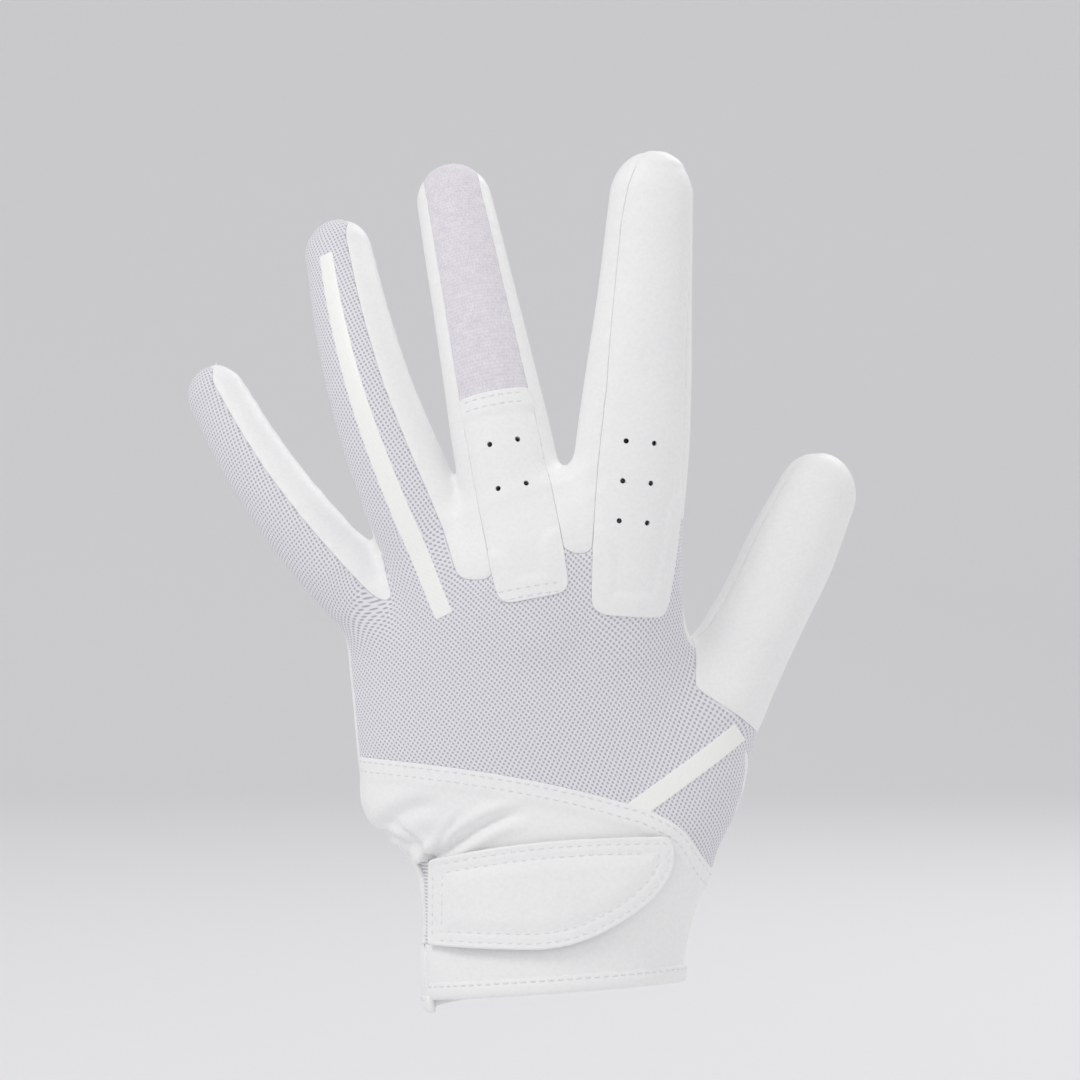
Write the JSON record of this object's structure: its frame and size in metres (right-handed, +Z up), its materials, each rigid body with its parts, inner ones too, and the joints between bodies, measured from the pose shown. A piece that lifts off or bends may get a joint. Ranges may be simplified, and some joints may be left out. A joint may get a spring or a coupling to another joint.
{
  "type": "baseball fielding inner glove",
  "caption": "Left-hand inner glove for wear inside a baseball fielding mitt, in white leather and knitted mesh, held open, with a wrist tab closure.",
  "frame": {"origin": "centre of the wrist opening", "axes": "+Z up from the wrist to the fingertips, back of the hand towards -Y, thumb side towards +X"},
  "size_m": [0.1726, 0.0627, 0.2176],
  "materials": {
    "white_leather": "smooth, fine grain, soft satin",
    "white_binding": "folded and stitched, soft satin",
    "grey_mesh": "open knitted mesh, matt",
    "grey_knit": "fine stretch knit, matt",
    "white_tape": "smooth bonded film, satin",
    "white_elastic": "ribbed woven elastic, matt",
    "white_fastener": "short loop pile, matt"
  },
  "bodies": {
    "root": {"palm_leather": "white_leather", "thumb_front": "white_leather", "thumb_back": "white_leather", "fourchette_index_middle": "white_leather", "fourchette_middle_ring": "white_leather", "fourchette_ring_little": "white_leather", "index_side_gusset": "white_leather", "index_back": "white_leather", "middle_knuckle_plate": "white_leather", "middle_back_knit": "grey_knit", "back_mesh": "grey_mesh", "ring_stripe": "white_tape", "hand_stripe": "white_tape", "cuff_back": "white_leather", "elastic_insert": "white_elastic", "hem_back": "white_binding", "hem_palm": "white_binding", "tab_pad": "white_fastener", "wrist_tab": "white_leather"}
  },
  "joints": []
}
